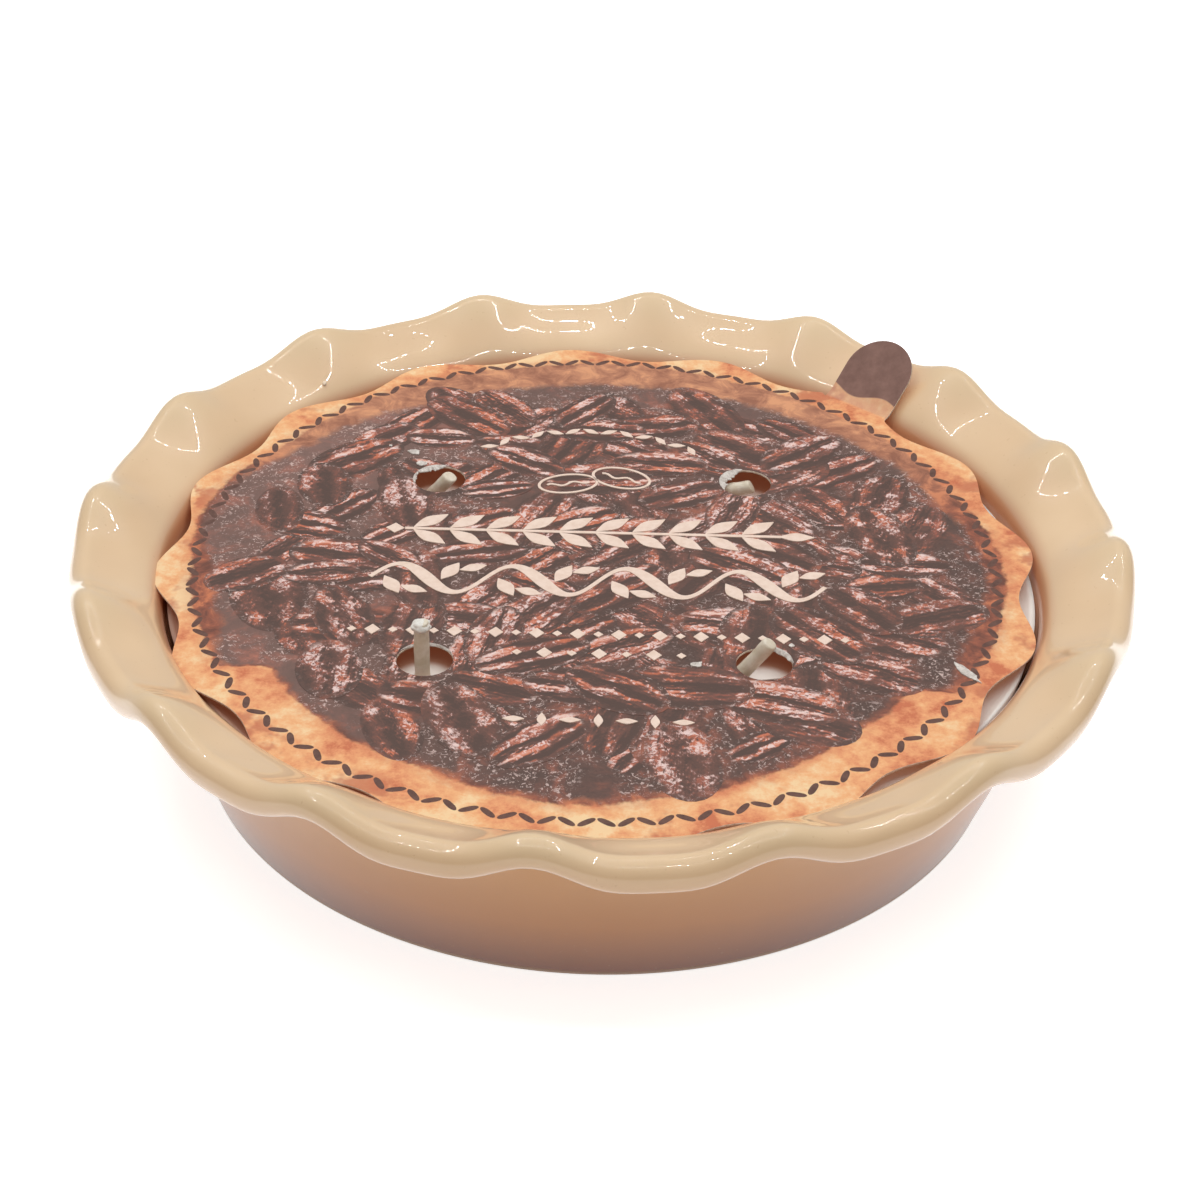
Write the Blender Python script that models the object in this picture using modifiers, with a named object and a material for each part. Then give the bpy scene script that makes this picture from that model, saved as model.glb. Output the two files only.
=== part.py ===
"""Four-wick candle poured into a fluted ceramic pie dish, under a scalloped card dust cover.

Metres, +Z up. The origin is the centre of the dish's foot, on the surface it stands on.
"""

import math

import bmesh
import bpy
from mathutils import Matrix, Vector

# Dish
RIM_RADIUS = 0.133
LIP_RADIUS = 0.004
LIP_HEIGHT = 0.0536
WALL_TOP_RADIUS = 0.116
WALL_TOP_HEIGHT = 0.0415
FOOT_RADIUS = 0.103
FOOT_CORNER = 0.0015
FOOT_RING_WIDTH = 0.014
FOOT_RECESS = 0.0012
WALL = 0.006
FLOOR_HEIGHT = 0.0072
FLOOR_CORNER = 0.012
DISH_STEPS = 96

# Flutes that wave the lip and press scoops into the flare
FLUTES = 16
FLUTE_WAVE = 0.0026
FLUTE_LOW = 0.036
FLUTE_HIGH = 0.053
FIRST_RIDGE = math.radians(18.0)
HAND_DRIFT = math.radians(1.2)

# Wax and wicks
WAX_HEIGHT = 0.042
GAP = 0.0003
WICK_RADIUS = 0.0019

# Dust cover
CARD_THICKNESS = 0.0006
CARD_HEIGHT = 0.0477
CARD_RADIUS = 0.1097
CARD_SCALLOP = 0.0023
CARD_CENTRE = Vector((-0.0016, 0.0))
CARD_TURN = math.radians(1.2)
FIRST_LOBE = math.radians(5.0)
OUTLINE_STEPS = 128
HOLE_RADIUS = 0.0068
HOLE_STEPS = 24
HOLE_SPACING = Vector((0.0814, 0.0852))
HOLE_SHIFT = Vector((-0.0005, -0.0022))

# Pull tab, bent up out of the dust cover's edge
TAB_ANGLE = FIRST_LOBE + math.tau / FLUTES * 2
TAB_WIDTH = 0.0205
TAB_LENGTH = 0.022
TAB_FOLD_RADIUS = 0.1095
TAB_LIFT = math.radians(40)
TAB_END_STEPS = 10

# Where each wick's middle line runs, foot to tip
WICK_PATHS = {
    "wick_front_left": [(-0.0425, -0.0442, 0.0423), (-0.0424, -0.0443, 0.050), (-0.0425, -0.0444, 0.058)],
    "wick_front_right": [(0.0325, -0.0434, 0.0435), (0.0353, -0.0443, 0.047), (0.0404, -0.046, 0.0555)],
    "wick_back_left": [(-0.0462, 0.0395, 0.0435), (-0.0428, 0.0383, 0.047), (-0.0407, 0.0374, 0.050)],
    "wick_back_right": [(0.0285, 0.0425, 0.0443), (0.0330, 0.0422, 0.0449), (0.0395, 0.0415, 0.047)],
}


def clear_scene():
    for thing in list(bpy.data.objects):
        bpy.data.objects.remove(thing, do_unlink=True)


def make_collection(name):
    collection = bpy.data.collections.new(name)
    bpy.context.scene.collection.children.link(collection)
    return collection


def make_material(name, color, roughness):
    material = bpy.data.materials.new(name)
    material.use_nodes = True
    shader = material.node_tree.nodes["Principled BSDF"]
    shader.inputs["Base Color"].default_value = (*color, 1.0)
    shader.inputs["Roughness"].default_value = roughness
    shader.inputs["Metallic"].default_value = 0.0
    return material


def add_object(name, data, collection, material):
    thing = bpy.data.objects.new(name, data)
    thing.data.materials.append(material)
    collection.objects.link(thing)
    return thing


def smooth_step(value, low, high):
    t = min(max((value - low) / (high - low), 0.0), 1.0)
    return t * t * (3.0 - 2.0 * t)


def arc(centre, radius, start_deg, end_deg, steps):
    """Points of an arc in the plane of radius and height."""
    points = []
    for step in range(steps + 1):
        angle = math.radians(start_deg + (end_deg - start_deg) * step / steps)
        points.append((centre[0] + radius * math.cos(angle), centre[1] + radius * math.sin(angle)))
    return points


def bend(start, start_pull, end_pull, end, steps):
    """Points between the ends of a smooth bend, without the ends themselves."""
    points = []
    for step in range(1, steps):
        t = step / steps
        u = 1.0 - t
        weights = (u**3, 3 * u * u * t, 3 * u * t * t, t**3)
        stops = (start, start_pull, end_pull, end)
        points.append(tuple(sum(w * p[axis] for w, p in zip(weights, stops)) for axis in (0, 1)))
    return points


def turned_mesh(name, profile, steps):
    """Turn a profile about Z with a Screw modifier and return the applied mesh."""
    mesh = bpy.data.meshes.new(name)
    points = [(radius, 0.0, height) for radius, height in profile]
    mesh.from_pydata(points, [(i, i + 1) for i in range(len(points) - 1)], [])
    raw = bpy.data.objects.new(name + "_profile", mesh)
    bpy.context.scene.collection.objects.link(raw)
    screw = raw.modifiers.new("turn", "SCREW")
    screw.axis = "Z"
    screw.angle = math.tau
    screw.steps = steps
    screw.render_steps = steps
    screw.use_merge_vertices = True
    screw.merge_threshold = 0.0001
    return apply_as_mesh(raw, name)


def apply_as_mesh(raw, name):
    """Replace an object by the plain mesh that it evaluates to, with its doubles merged."""
    graph = bpy.context.evaluated_depsgraph_get()
    mesh = bpy.data.meshes.new_from_object(raw.evaluated_get(graph))
    mesh.name = name
    bpy.data.objects.remove(raw, do_unlink=True)
    work = bmesh.new()
    work.from_mesh(mesh)
    bmesh.ops.remove_doubles(work, verts=work.verts, dist=0.00001)
    bmesh.ops.recalc_face_normals(work, faces=work.faces)
    work.to_mesh(mesh)
    work.free()
    return mesh


def shade_round(mesh, angle_deg):
    mesh.shade_smooth()
    mesh.set_sharp_from_angle(angle=math.radians(angle_deg))


def inner_wall():
    """The inside of the dish from the floor's middle to where the flare meets the lip."""
    corner_radius = FOOT_RADIUS - WALL + 0.001
    corner_centre = (corner_radius - FLOOR_CORNER, FLOOR_HEIGHT + FLOOR_CORNER)
    wall_foot = (WALL_TOP_RADIUS - WALL, WALL_TOP_HEIGHT + 0.001)
    lip_meet_deg = 120.0
    lip_centre = (RIM_RADIUS - LIP_RADIUS, LIP_HEIGHT)
    lip_start = arc(lip_centre, LIP_RADIUS, lip_meet_deg, lip_meet_deg, 1)[0]
    flare = bend(wall_foot, (wall_foot[0] + 0.0018, wall_foot[1] + 0.0060),
                 (lip_start[0] - 0.0069, lip_start[1] - 0.0040), lip_start, 7)
    floor = [(0.0, FLOOR_HEIGHT)]
    corner = arc(corner_centre, FLOOR_CORNER, -90.0, -12.0, 4)
    return floor + corner + [wall_foot] + flare


def lip_roll():
    centre = (RIM_RADIUS - LIP_RADIUS, LIP_HEIGHT)
    return arc(centre, LIP_RADIUS, 120.0, -100.0, 8)


def outer_wall():
    """The outside from under the lip down to the foot ring and in to the axis."""
    lip_end = lip_roll()[-1]
    wall_top = (WALL_TOP_RADIUS, WALL_TOP_HEIGHT)
    under = bend(lip_end, (lip_end[0] - 0.0045, lip_end[1] - 0.0008),
                 (wall_top[0] + 0.0018, wall_top[1] + 0.0050), wall_top, 4)
    ring_inner = FOOT_RADIUS - FOOT_RING_WIDTH
    foot = arc((FOOT_RADIUS - FOOT_CORNER, FOOT_CORNER), FOOT_CORNER, 0.0, -90.0, 2)
    recess = [(ring_inner, 0.0), (ring_inner - FOOT_RECESS, FOOT_RECESS), (0.0, FOOT_RECESS)]
    return under + [wall_top] + foot + recess


def flute(angle):
    """1 on a ridge of the rim, -1 in the middle of a scoop, with the slight drift of handwork."""
    drift = HAND_DRIFT * (math.cos(2.0 * angle) + 0.6 * math.cos(angle))
    return math.cos(FLUTES * (angle - FIRST_RIDGE - drift))


def press_flutes(mesh):
    """Wave the lip up and down, and push the flare in on ridges and out in scoops."""
    for vertex in mesh.vertices:
        x, y, z = vertex.co
        radius = math.hypot(x, y)
        strength = FLUTE_WAVE * smooth_step(z, FLUTE_LOW, FLUTE_HIGH)
        if radius < FOOT_RADIUS or strength == 0.0:
            continue
        push = strength * flute(math.atan2(y, x))
        turn = smooth_step(z, WALL_TOP_HEIGHT, LIP_HEIGHT) * math.pi / 2
        scale = (radius - push * math.cos(turn)) / radius
        vertex.co = (x * scale, y * scale, z + push * math.sin(turn))


def make_dish(collection):
    mesh = turned_mesh("dish", inner_wall() + lip_roll() + outer_wall(), DISH_STEPS)
    press_flutes(mesh)
    shade_round(mesh, 50)
    glaze = make_material("cream_glaze", (0.76, 0.56, 0.38), 0.2)
    return add_object("dish", mesh, collection, glaze)


def make_wax(collection):
    """The wax fills the dish up to WAX_HEIGHT, a hair's gap from its wall."""
    inside = [(radius, height) for radius, height in inner_wall() if height < WAX_HEIGHT]
    floor_height = inside[0][1] + GAP
    low, high = inside[-1], inner_wall()[len(inside)]
    share = (WAX_HEIGHT - low[1]) / (high[1] - low[1])
    edge_radius = low[0] + (high[0] - low[0]) * share - GAP * 2
    profile = [(0.0, WAX_HEIGHT), (edge_radius, WAX_HEIGHT)]
    for radius, height in reversed(inside[1:]):
        profile.append((radius - GAP * 2, max(height + GAP / 2, floor_height)))
    profile.append((0.0, floor_height))
    mesh = turned_mesh("wax", profile, DISH_STEPS)
    press_flutes(mesh)
    shade_round(mesh, 40)
    wax = make_material("cream_wax", (0.84, 0.80, 0.75), 0.45)
    return add_object("wax", mesh, collection, wax)


def make_wick(name, path, collection, material):
    curve = bpy.data.curves.new(name, "CURVE")
    curve.dimensions = "3D"
    curve.bevel_depth = WICK_RADIUS
    curve.bevel_resolution = 2
    curve.use_fill_caps = True
    spline = curve.splines.new("POLY")
    spline.points.add(len(path) - 1)
    for point, place in zip(spline.points, path):
        point.co = (*place, 1.0)
    raw = bpy.data.objects.new(name + "_line", curve)
    bpy.context.scene.collection.objects.link(raw)
    mesh = apply_as_mesh(raw, name)
    lift_off_wax(mesh)
    shade_round(mesh, 50)
    return add_object(name, mesh, collection, material)


def lift_off_wax(mesh):
    """Trim a leaning wick's foot flat, just above the wax."""
    for vertex in mesh.vertices:
        vertex.co.z = max(vertex.co.z, WAX_HEIGHT + GAP)


def card_outline():
    """The scalloped edge with the tab's straight sides and round end let into it."""
    points = []
    half = TAB_WIDTH / 2
    along = Vector((math.cos(TAB_ANGLE), math.sin(TAB_ANGLE)))
    across = Vector((-along.y, along.x))
    for step in range(OUTLINE_STEPS):
        angle = TAB_ANGLE + math.tau * (step + 0.5) / OUTLINE_STEPS
        radius = CARD_RADIUS + CARD_SCALLOP * math.cos(FLUTES * (angle - FIRST_LOBE))
        spot = Vector((math.cos(angle), math.sin(angle))) * radius
        if abs(spot.dot(across)) > half + GAP or spot.dot(along) < 0.0:
            points.append(spot)
    end_centre = TAB_FOLD_RADIUS + TAB_LENGTH - half
    points.append(along * (TAB_FOLD_RADIUS - GAP) - across * half)
    for step in range(TAB_END_STEPS + 1):
        angle = math.pi * (step / TAB_END_STEPS - 0.5)
        points.append(along * (end_centre + half * math.cos(angle)) + across * half * math.sin(angle))
    points.append(along * (TAB_FOLD_RADIUS - GAP) + across * half)
    return [spot + CARD_CENTRE for spot in points]


def hole_centres():
    """The middles of the four wick holes, at the corners of a slightly turned rectangle."""
    turn = Matrix.Rotation(CARD_TURN, 2)
    centres = []
    for side_x in (-0.5, 0.5):
        for side_y in (-0.5, 0.5):
            corner = Vector((HOLE_SPACING.x * side_x, HOLE_SPACING.y * side_y))
            centres.append(turn @ corner + CARD_CENTRE + HOLE_SHIFT)
    return centres


def add_loop(curve, points):
    spline = curve.splines.new("POLY")
    spline.points.add(len(points) - 1)
    for point, place in zip(spline.points, points):
        point.co = (place.x, place.y, 0.0, 1.0)
    spline.use_cyclic_u = True


def fold_tab_up(mesh):
    """Crease the flat card at the tab's foot and turn the tab up about the crease."""
    along = Vector((math.cos(TAB_ANGLE), math.sin(TAB_ANGLE), 0.0))
    hinge = Vector((*CARD_CENTRE, 0.0)) + along * TAB_FOLD_RADIUS
    work = bmesh.new()
    work.from_mesh(mesh)
    geometry = list(work.verts) + list(work.edges) + list(work.faces)
    bmesh.ops.bisect_plane(work, geom=geometry, dist=0.000001, plane_co=hinge, plane_no=along)
    lift = Matrix.Rotation(-TAB_LIFT, 3, along.cross(Vector((0.0, 0.0, -1.0))))
    beyond = [vertex for vertex in work.verts if (vertex.co - hinge).dot(along) > 0.00001]
    bmesh.ops.rotate(work, verts=beyond, cent=hinge, matrix=lift)
    bmesh.ops.recalc_face_normals(work, faces=work.faces)
    work.to_mesh(mesh)
    work.free()


def make_card(collection):
    curve = bpy.data.curves.new("card_outline", "CURVE")
    curve.dimensions = "2D"
    curve.fill_mode = "BOTH"
    curve.extrude = CARD_THICKNESS / 2
    add_loop(curve, card_outline())
    for centre in hole_centres():
        turns = [math.tau * step / HOLE_STEPS for step in range(HOLE_STEPS)]
        add_loop(curve, [centre + Vector((math.cos(a), math.sin(a))) * HOLE_RADIUS for a in turns])
    raw = bpy.data.objects.new("card_outline", curve)
    bpy.context.scene.collection.objects.link(raw)
    mesh = apply_as_mesh(raw, "card")
    fold_tab_up(mesh)
    mesh.transform(Matrix.Translation((0.0, 0.0, CARD_HEIGHT)))
    print_brown = make_material("printed_card", (0.26, 0.13, 0.09), 0.55)
    return add_object("card", mesh, collection, print_brown)


def main():
    clear_scene()
    candle = make_collection("pie_dish_candle")
    make_dish(candle)
    make_wax(candle)
    cotton = make_material("waxed_cotton", (0.72, 0.66, 0.55), 0.6)
    for name, path in WICK_PATHS.items():
        make_wick(name, path, candle, cotton)
    make_card(candle)


main()
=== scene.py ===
import math
import random

import bmesh
import bpy
from mathutils import Matrix, Vector, noise


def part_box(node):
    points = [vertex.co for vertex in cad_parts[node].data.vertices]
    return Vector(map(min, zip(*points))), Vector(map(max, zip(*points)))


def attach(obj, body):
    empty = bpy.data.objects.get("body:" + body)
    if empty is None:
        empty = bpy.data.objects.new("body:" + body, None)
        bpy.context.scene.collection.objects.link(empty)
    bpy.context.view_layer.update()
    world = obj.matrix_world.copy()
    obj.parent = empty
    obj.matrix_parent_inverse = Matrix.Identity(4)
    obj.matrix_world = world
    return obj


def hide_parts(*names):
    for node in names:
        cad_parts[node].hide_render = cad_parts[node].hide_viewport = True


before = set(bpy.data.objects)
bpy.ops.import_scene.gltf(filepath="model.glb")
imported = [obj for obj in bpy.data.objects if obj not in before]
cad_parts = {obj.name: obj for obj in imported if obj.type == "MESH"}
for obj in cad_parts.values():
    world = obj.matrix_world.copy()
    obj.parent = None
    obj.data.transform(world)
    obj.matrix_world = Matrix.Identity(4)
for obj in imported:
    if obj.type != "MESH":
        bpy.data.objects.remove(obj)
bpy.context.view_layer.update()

dish_low, dish_high = (Vector(corner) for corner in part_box("dish"))
wax_low, wax_high = (Vector(corner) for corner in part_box("wax"))
card_low, _ = (Vector(corner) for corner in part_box("card"))

MM = 0.001
FLUTES = 16
RIM_RADIUS = (dish_high.x - dish_low.x) / 2
LIP_RADIUS = 4.0 * MM
LIP_HEIGHT = 53.6 * MM
WALL_TOP = (116.0 * MM, 41.5 * MM)
WALL = 6.0 * MM
FOOT_RADIUS = 103.0 * MM
WALL_LEAN = 0.31
FLUTE_WAVE = 3.1 * MM
FIRST_RIDGE = math.radians(18.0)
HAND_DRIFT = math.radians(1.2)

CARD_THICKNESS = 0.6 * MM
CARD_TOP = card_low.z + CARD_THICKNESS
CARD_CENTRE = Vector((-1.1, 0.0, 0.0)) * MM
PRINT_CENTRE = Vector((-1.65, 0.0, 0.0)) * MM
CARD_RADIUS = 108.8 * MM
CARD_SCALLOP = 2.8 * MM
CARD_SLOPE = 0.021
CARD_SHORT = 0.969
CARD_TURN = math.radians(1.2)
FIRST_LOBE = math.radians(5.0)
HOLE_RADIUS = 6.8 * MM
HOLE_SPACING = Vector((81.4, 85.2, 0.0)) * MM
HOLE_SHIFT = Vector((-1.0, -2.2, 0.0)) * MM

TAB_ANGLE = FIRST_LOBE + math.tau / FLUTES * 2
TAB_HALF = 10.25 * MM
TAB_FOLD = 109.0 * MM
TAB_REACH = 132.3 * MM
TAB_LIFT = math.radians(41)
TAB_CURL = 7.0 * MM

INK = 0.012 * MM
STITCH_PAIRS = 72
STITCH_RADIUS = 101.2 * MM
STITCH_STRETCH = 1.06


# ---------------------------------------------------------------- shader building

def tint(red, green, blue):
    """A display colour from 0 to 255 as the linear colour that a shader socket takes."""
    shares = [part / 255 for part in (red, green, blue)]
    linear = [share / 12.92 if share <= 0.04 else ((share + 0.055) / 1.055) ** 2.4 for share in shares]
    return (*linear, 1.0)


class Wire:
    """A shader output on which Python arithmetic builds Math nodes."""

    def __init__(self, look, socket):
        self.look = look
        self.socket = socket

    def maths(self, operation, *terms):
        return self.look.add("ShaderNodeMath", {"operation": operation}, dict(enumerate(terms)))

    def __add__(self, other):
        return self.maths("ADD", self, other)

    def __radd__(self, other):
        return self.maths("ADD", other, self)

    def __sub__(self, other):
        return self.maths("SUBTRACT", self, other)

    def __rsub__(self, other):
        return self.maths("SUBTRACT", other, self)

    def __mul__(self, other):
        return self.maths("MULTIPLY", self, other)

    def __rmul__(self, other):
        return self.maths("MULTIPLY", other, self)

    def __truediv__(self, other):
        return self.maths("DIVIDE", self, other)

    def __pow__(self, other):
        return self.maths("POWER", self, other)

    def __neg__(self):
        return self.maths("MULTIPLY", self, -1.0)

    def cos(self):
        return self.maths("COSINE", self)

    def root(self):
        return self.maths("SQRT", self)

    def size(self):
        return self.maths("ABSOLUTE", self)

    def least(self, other):
        return self.maths("MINIMUM", self, other)

    def most(self, other):
        return self.maths("MAXIMUM", self, other)


class Look:
    """A material whose Principled shader is fed by wires."""

    def __init__(self, name, **constants):
        self.material = bpy.data.materials.new(name)
        self.material.use_nodes = True
        self.tree = self.material.node_tree
        self.shader = self.tree.nodes["Principled BSDF"]
        for socket, value in constants.items():
            self.shader.inputs[socket.replace("_", " ")].default_value = value

    def add(self, kind, settings=None, sockets=None, out=0):
        """Add a node, set it up, feed its sockets and return one of its outputs."""
        node = self.tree.nodes.new(kind)
        for key, value in (settings or {}).items():
            if key == "stops":
                self.set_stops(node.color_ramp, value)
            else:
                setattr(node, key, value)
        for key, value in (sockets or {}).items():
            self.feed(node.inputs[key], value)
        return Wire(self, node.outputs[out])

    def feed(self, socket, value):
        if isinstance(value, Wire):
            self.tree.links.new(value.socket, socket)
        else:
            socket.default_value = value

    def set_stops(self, ramp, stops):
        while len(ramp.elements) < len(stops):
            ramp.elements.new(0.5)
        for element, (place, color) in zip(ramp.elements, stops):
            element.position = place
            element.color = color

    def ends(self, **inputs):
        for name, value in inputs.items():
            self.feed(self.shader.inputs[name.replace("_", " ")], value)
        return self.material

    def places(self):
        return self.add("ShaderNodeTexCoord", out="Object")

    def split(self, vector):
        return [self.add("ShaderNodeSeparateXYZ", None, {0: vector}, axis) for axis in "XYZ"]

    def noise(self, vector, scale, detail=3.0, rough=0.5, warp=0.0):
        return self.add("ShaderNodeTexNoise", None, {
            "Vector": vector, "Scale": scale, "Detail": detail, "Roughness": rough, "Distortion": warp})

    def fade(self, value, low, high):
        """0 below low, 1 above high and a smooth step between."""
        settings = {"interpolation_type": "SMOOTHSTEP"}
        return self.add("ShaderNodeMapRange", settings, {0: value, 1: low, 2: high, 3: 0.0, 4: 1.0})

    def ramp(self, value, *stops):
        return self.add("ShaderNodeValToRGB", {"stops": stops}, {0: value})

    def mix(self, share, under, over):
        return self.add("ShaderNodeMix", {"data_type": "RGBA"}, {0: share, 6: under, 7: over}, 2)

    def bump(self, height, strength, distance):
        sockets = {"Height": height, "Strength": strength, "Distance": distance}
        return self.add("ShaderNodeBump", None, sockets)


# ---------------------------------------------------------------- modelling helpers

def let_go():
    if bpy.context.object and bpy.context.object.mode != "OBJECT":
        bpy.ops.object.mode_set(mode="OBJECT")
    bpy.ops.object.select_all(action="DESELECT")


def named(name):
    piece = bpy.context.object
    piece.name = name
    piece.data.name = name
    return piece


def settle(piece):
    """Put the piece's place into its mesh and leave it at the origin."""
    let_go()
    piece.select_set(True)
    bpy.context.view_layer.objects.active = piece
    bpy.ops.object.transform_apply(location=True, rotation=True, scale=True)
    return piece


def finish_modifiers(piece):
    let_go()
    piece.select_set(True)
    bpy.context.view_layer.objects.active = piece
    for modifier in list(piece.modifiers):
        bpy.ops.object.modifier_apply(modifier=modifier.name)


def subdivided(piece, levels):
    modifier = piece.modifiers.new("smooth", "SUBSURF")
    modifier.levels = levels
    modifier.render_levels = levels
    finish_modifiers(piece)


def walk_rings(vertices, stations):
    """Extrude a round face through (radius, height) stations, which leaves one closed turned body."""
    let_go()
    start_radius, start_height = stations[0]
    bpy.ops.mesh.primitive_circle_add(vertices=vertices, radius=start_radius, fill_type="NGON",
                                      location=(0.0, 0.0, start_height))
    bpy.ops.object.transform_apply(location=True)
    bpy.ops.object.mode_set(mode="EDIT")
    bpy.ops.mesh.select_all(action="SELECT")
    for (radius, height), (next_radius, next_height) in zip(stations, stations[1:]):
        bpy.ops.mesh.extrude_region_move(TRANSFORM_OT_translate={"value": (0.0, 0.0, next_height - height)})
        share = next_radius / radius
        bpy.ops.transform.resize(value=(share, share, 1.0), center_override=(0.0, 0.0, next_height))
    bpy.ops.mesh.select_all(action="SELECT")
    bpy.ops.mesh.normals_make_consistent(inside=False)
    bpy.ops.object.mode_set(mode="OBJECT")
    return bpy.context.object


def dress(piece, material, body_slot, *nodes):
    piece.data.materials.clear()
    piece.data.materials.append(material)
    hand_over(piece, body_slot, *nodes)


def hand_over(piece, record_slot, *nodes):
    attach(piece, "root")
    if nodes:
        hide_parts(*nodes)


def smooth_step(value, low, high):
    t = min(max((value - low) / (high - low), 0.0), 1.0)
    return t * t * (3.0 - 2.0 * t)


def arc(centre, radius, start_deg, end_deg, steps):
    turns = [math.radians(start_deg + (end_deg - start_deg) * k / steps) for k in range(steps + 1)]
    return [(centre[0] + radius * math.cos(a), centre[1] + radius * math.sin(a)) for a in turns]


def bend(start, start_pull, end_pull, end, steps):
    """Points between the ends of a smooth bend, without the ends themselves."""
    points = []
    for step in range(1, steps):
        t = step / steps
        u = 1.0 - t
        weights = (u**3, 3 * u * u * t, 3 * u * t * t, t**3)
        stops = (start, start_pull, end_pull, end)
        points.append(tuple(sum(w * p[axis] for w, p in zip(weights, stops)) for axis in (0, 1)))
    return points


# ---------------------------------------------------------------- dish

def inner_wall(flare_steps=22):
    """The inside of the dish, from the floor's edge out to the lip."""
    floor = 7.2 * MM
    corner = 12.0 * MM
    corner_centre = (FOOT_RADIUS - WALL + 1.0 * MM - corner, floor + corner)
    wall_foot = (WALL_TOP[0] - WALL + 0.4 * MM, WALL_TOP[1] + 1.0 * MM)
    lip_start = arc((RIM_RADIUS - LIP_RADIUS, LIP_HEIGHT), LIP_RADIUS, 120, 120, 1)[0]
    start_pull = (wall_foot[0] + 0.3 * MM, wall_foot[1] + 7.4 * MM)
    end_pull = (lip_start[0] - 9.5 * MM, lip_start[1] - 4.6 * MM)
    wall = bend(arc(corner_centre, corner, -12, -12, 1)[0], (101.0 * MM, 22.0 * MM), (107.5 * MM, 34.0 * MM),
                wall_foot, 5)
    flare = bend(wall_foot, start_pull, end_pull, lip_start, flare_steps)
    return arc(corner_centre, corner, -90, -12, 5) + wall + [wall_foot] + flare + [lip_start]


def outer_wall():
    """The outside, from the foot ring's inner edge up to the underside of the lip."""
    lip_end = arc((RIM_RADIUS - LIP_RADIUS, LIP_HEIGHT), LIP_RADIUS, -100, -100, 1)[0]
    ring_inner = FOOT_RADIUS - 14.0 * MM
    recess = 1.2 * MM
    corner = 1.5 * MM
    under = bend(WALL_TOP, (WALL_TOP[0] + 1.8 * MM, WALL_TOP[1] + 5.0 * MM),
                 (lip_end[0] - 4.5 * MM, lip_end[1] - 0.8 * MM), lip_end, 12) + [lip_end]
    foot = [(ring_inner - 12 * MM, recess), (ring_inner - recess, recess), (ring_inner, 0.0)]
    edge = arc((FOOT_RADIUS - corner, corner), corner, -90, 0, 3)
    spread = WALL_TOP[0] - FOOT_RADIUS
    rise = [(FOOT_RADIUS + spread * share, WALL_TOP[1] * share) for share in (0.3, 0.6, 0.85)]
    return foot + edge + rise + [WALL_TOP] + under


def flute(angle):
    """1 on a ridge, less than -0.6 in a scoop: the ridges are narrower than the scoops."""
    drift = HAND_DRIFT * (math.cos(2.0 * angle) + 0.6 * math.cos(angle))
    turn = FLUTES * (angle - FIRST_RIDGE - drift)
    return (math.cos(turn) + 0.28 * math.cos(2.0 * turn)) / 1.28


def press_flutes(mesh):
    """Wave the lip up and down; the waves fade out towards the flare's inner edge."""
    for vertex in mesh.vertices:
        x, y, z = vertex.co
        radius = math.hypot(x, y)
        if radius < FOOT_RADIUS or z <= 36.0 * MM:
            continue
        strength = smooth_step(radius, 110.5 * MM, 126.5 * MM) * smooth_step(z, 38.0 * MM, 48.0 * MM)
        push = FLUTE_WAVE * strength * flute(math.atan2(y, x))
        turn = smooth_step(z, WALL_TOP[1], LIP_HEIGHT) * math.pi / 2
        scale = (radius - push * math.cos(turn)) / radius
        vertex.co = (x * scale, y * scale, z + push * math.sin(turn))


def hand_wobble(mesh, amount, size):
    """A slow unevenness over the mesh, none at the height of the foot."""
    for vertex in mesh.vertices:
        drift = noise.noise_vector(vertex.co / size) * amount
        vertex.co += drift * smooth_step(vertex.co.z, 2.0 * MM, 30.0 * MM)


def glaze_look():
    look = Look("cream_glaze", Coat_Weight=1.0, Coat_Roughness=0.02, Roughness=0.35, Coat_IOR=1.5)
    spot = look.places()
    x, y, z = look.split(spot)
    cloud = look.noise(spot, 28.0, 3.0)
    fine = look.noise(spot, 420.0, 2.0)
    base = look.ramp(cloud, (0.3, tint(220, 186, 145)), (0.7, tint(230, 198, 158)))
    edge = look.fade(z, 53.5 * MM, 60.0 * MM) * 0.55
    body = look.mix(edge, base, tint(221, 195, 155))
    reach = (x * x + y * y).root() - z * WALL_LEAN
    outside = look.fade(reach, 101.5 * MM, 102.5 * MM) * look.fade(z, 52.0 * MM, 42.0 * MM)
    # The outside takes a warmer glaze tone that darkens towards the foot; the darkening is painted shade.
    outer_tone_and_shade = look.ramp(z / (50.0 * MM), (0.05, tint(142, 76, 34)), (0.40, tint(197, 138, 82)),
                     (0.85, tint(217, 169, 115)))
    body = look.mix(outside, body, outer_tone_and_shade)
    # Painted shade: the inner wall below the card's level is tinted brown, standing in for the shade under the
    # card and its warm bounce.
    gap = look.fade(z, 50.5 * MM, 46.0 * MM) * look.fade(z, 6.5 * MM, 8.0 * MM)
    gap = gap * look.fade(reach, 101.0 * MM, 100.0 * MM)
    body = look.mix(gap * 0.85, body, tint(198, 128, 88))
    specks = look.fade(look.noise(spot, 900.0, 1.0), 0.72, 0.78) * 0.25
    body = look.mix(specks, body, tint(190, 150, 108))
    foot = look.fade(z, 2.2 * MM, 0.8 * MM)
    body = look.mix(foot * 0.8, body, tint(214, 190, 165))
    ripple = look.bump(cloud * 0.8 + fine * 0.03, 0.35, 1.2 * MM)
    coat = 1.0 - foot - outside * 0.5
    return look.ends(Base_Color=body, Normal=ripple, Coat_Weight=coat)


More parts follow.
